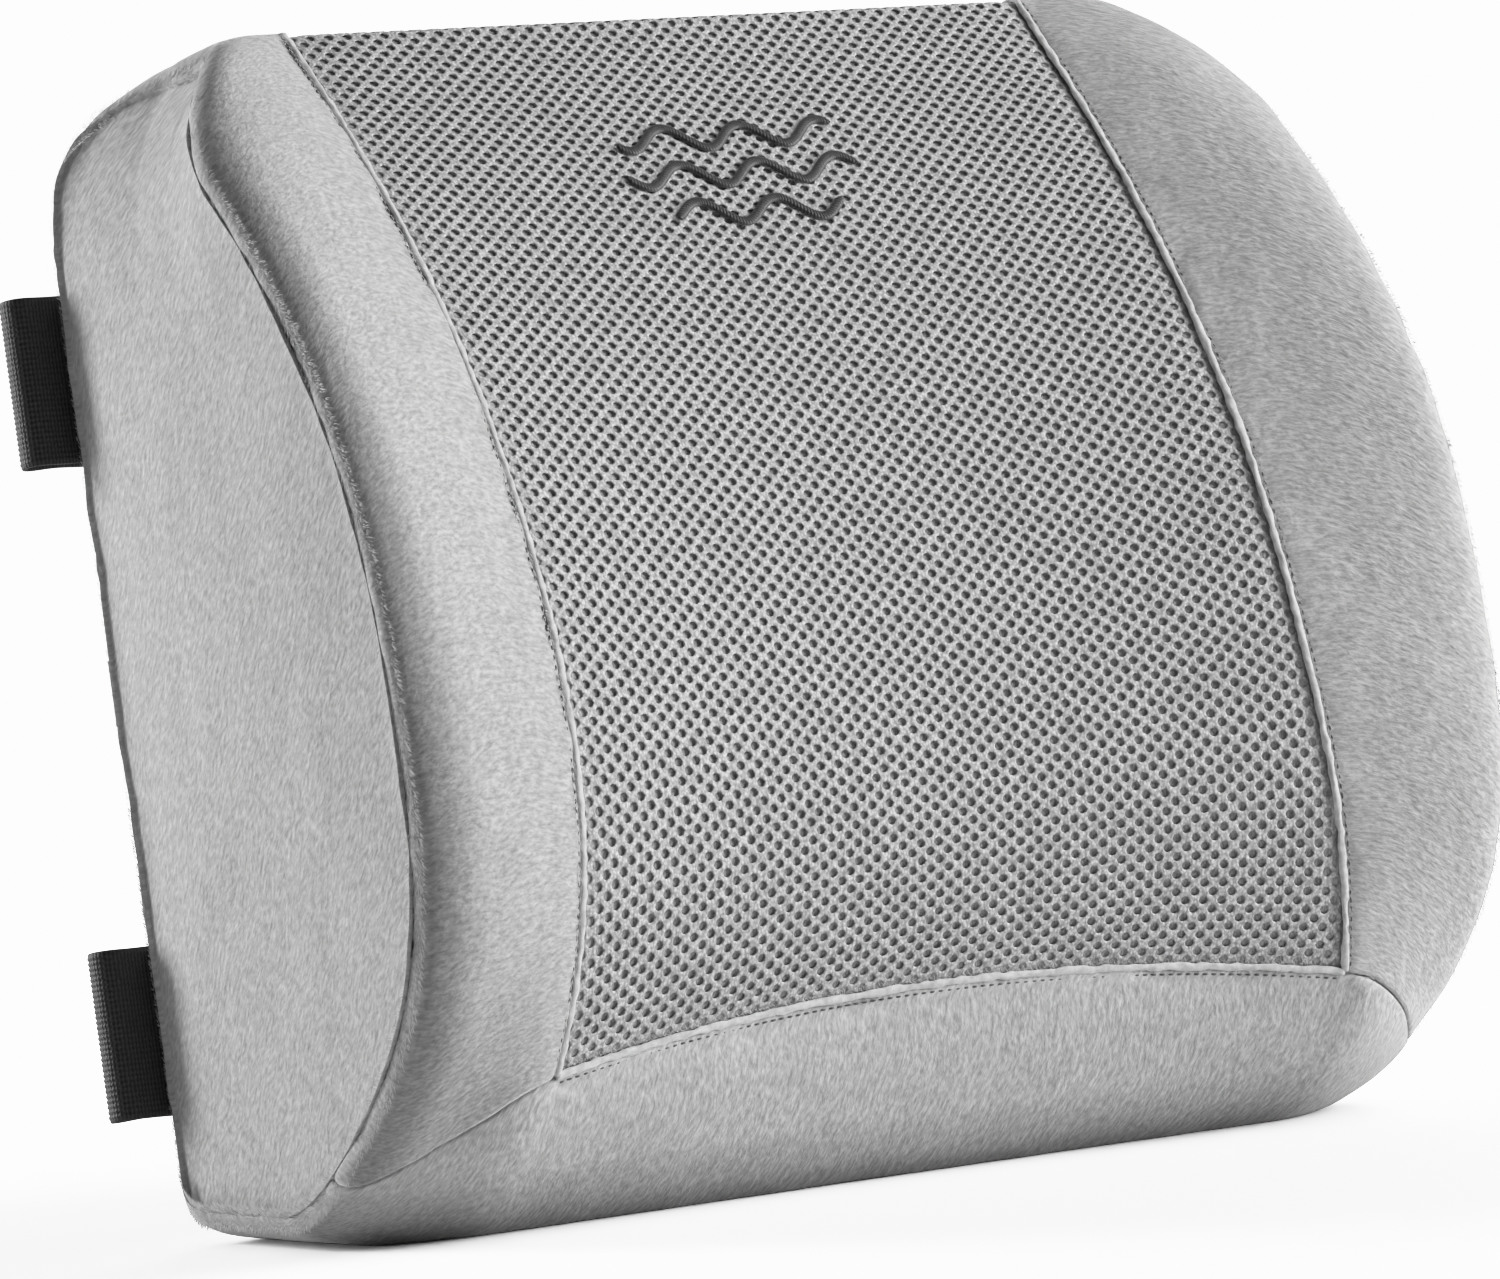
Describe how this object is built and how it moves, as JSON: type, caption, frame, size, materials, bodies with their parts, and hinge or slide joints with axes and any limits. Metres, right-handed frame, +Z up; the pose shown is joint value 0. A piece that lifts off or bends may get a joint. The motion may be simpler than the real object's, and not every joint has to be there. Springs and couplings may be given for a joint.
{
  "type": "lumbar support cushion",
  "caption": "Memory foam lumbar cushion with a deep curved front, zipped plush cover with a mesh face, and two elastic buckle straps behind.",
  "frame": {"origin": "centre of the bounding box at the base, where the cushion stands", "axes": "+Z up, -Y towards the sitter's back, +Y towards the chair, +X across the cushion; the flat back leans 6 degrees backward as the cushion stands"},
  "size_m": [0.358, 0.1874, 0.3118],
  "materials": {
    "grey_plush": "matte",
    "spacer_mesh": "matte",
    "memory_foam": "matte",
    "liner_fabric": "matte",
    "elastic_webbing": "matte",
    "buckle_plastic": "satin",
    "zip_metal": "satin",
    "zip_coil": "satin",
    "zip_tape": "matte",
    "dark_thread": "satin",
    "label_satin": "satin"
  },
  "bodies": {
    "cushion": {"foam_core": "memory_foam", "inner_liner_body": "liner_fabric", "inner_liner_end_left": "liner_fabric", "inner_liner_end_right": "liner_fabric", "mesh_panel": "spacer_mesh", "left_wing_panel": "grey_plush", "right_wing_panel": "grey_plush", "left_side_panel": "grey_plush", "right_side_panel": "grey_plush", "bottom_panel": "grey_plush", "back_upper_panel": "grey_plush", "back_lower_panel": "grey_plush", "left_mesh_welt": "grey_plush", "right_mesh_welt": "grey_plush", "bottom_mesh_welt": "grey_plush", "embroidered_motif": "dark_thread", "care_label": "label_satin", "zip_tape_upper": "zip_tape", "zip_tape_lower": "zip_tape", "zip_coil_upper": "zip_coil", "zip_coil_lower": "zip_coil", "zip_end_stops": "zip_metal", "lower_strap_left_webbing": "elastic_webbing", "lower_strap_right_anchor": "elastic_webbing", "lower_strap_right_span": "elastic_webbing", "lower_strap_bar_tacks": "dark_thread", "lower_buckle_socket": "buckle_plastic", "upper_strap_left_webbing": "elastic_webbing", "upper_strap_right_anchor": "elastic_webbing", "upper_strap_right_span": "elastic_webbing", "upper_strap_bar_tacks": "dark_thread", "upper_buckle_socket": "buckle_plastic"},
    "zip_slider": {"zip_slider": "zip_metal"},
    "zip_pull": {"zip_pull": "zip_metal"},
    "lower_adjuster": {"lower_strap_adjuster": "buckle_plastic"},
    "upper_adjuster": {"upper_strap_adjuster": "buckle_plastic"},
    "lower_plug": {"lower_buckle_plug": "buckle_plastic", "lower_buckle_prongs": "buckle_plastic"},
    "upper_plug": {"upper_buckle_plug": "buckle_plastic", "upper_buckle_prongs": "buckle_plastic"}
  },
  "joints": [
    {"name": "zip_slide", "type": "slide", "parent": "cushion", "child": "zip_slider", "axis": [-1, 0, 0], "range_m": [0, 0.268]},
    {"name": "zip_pull_swing", "type": "hinge", "parent": "zip_slider", "child": "zip_pull", "pos_m": [0.139, 0.06797, 0.14249], "axis": [0, 0.1045, 0.9945], "range_deg": [-170, 0]},
    {"name": "lower_adjuster_slide", "type": "slide", "parent": "cushion", "child": "lower_adjuster", "axis": [1, 0, 0], "range_m": [-0.025, 0.025]},
    {"name": "upper_adjuster_slide", "type": "slide", "parent": "cushion", "child": "upper_adjuster", "axis": [1, 0, 0], "range_m": [-0.025, 0.025]},
    {"name": "lower_buckle_release", "type": "slide", "parent": "cushion", "child": "lower_plug", "axis": [1, 0, 0], "range_m": [0, 0.032], "deforming": ["lower_strap_right_span", "lower_buckle_prongs"]},
    {"name": "upper_buckle_release", "type": "slide", "parent": "cushion", "child": "upper_plug", "axis": [1, 0, 0], "range_m": [0, 0.032], "deforming": ["upper_strap_right_span", "upper_buckle_prongs"]}
  ]
}
